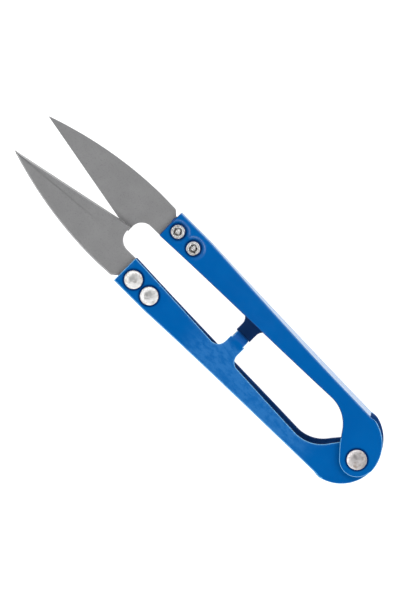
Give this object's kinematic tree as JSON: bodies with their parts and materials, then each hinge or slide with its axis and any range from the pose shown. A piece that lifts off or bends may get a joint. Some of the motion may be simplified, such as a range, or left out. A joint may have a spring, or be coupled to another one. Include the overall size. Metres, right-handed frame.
{
  "type": "thread snips",
  "caption": "Small squeeze snips: two folded blue handles on a rivet pivot, hooked stop tabs, sprung open, with pointed steel blades riveted on.",
  "frame": {"origin": "centre of the footprint, at the height of the lowest point, the underside of the pivot rivet", "axes": "+X from the pivot to the blade tips, +Y towards the left handle, +Z towards the pivot rivet's domed head"},
  "size_m": [0.105, 0.021, 0.0107],
  "materials": {
    "blue_paint": "glossy blue paint on folded steel sheet",
    "blade_steel": "fine matt ground steel",
    "rivet_plating": "bright nickel plating",
    "spring_wire": "drawn spring wire"
  },
  "bodies": {
    "left_half": {"left_handle": "blue_paint", "left_blade": "blade_steel", "left_blade_rivet_rear": "rivet_plating", "left_blade_rivet_front": "rivet_plating", "pivot_rivet": "rivet_plating", "torsion_spring": "spring_wire"},
    "right_half": {"right_handle": "blue_paint", "right_blade": "blade_steel", "right_blade_rivet_rear": "rivet_plating", "right_blade_rivet_front": "rivet_plating"}
  },
  "joints": [
    {"name": "squeeze", "type": "hinge", "parent": "left_half", "child": "right_half", "pos_m": [-0.0484, 0, 0.0053], "axis": [0, 0, 1], "range_deg": [0, 6], "stiffness_Nm_per_rad": 0.8, "deforming": ["torsion_spring"]}
  ]
}
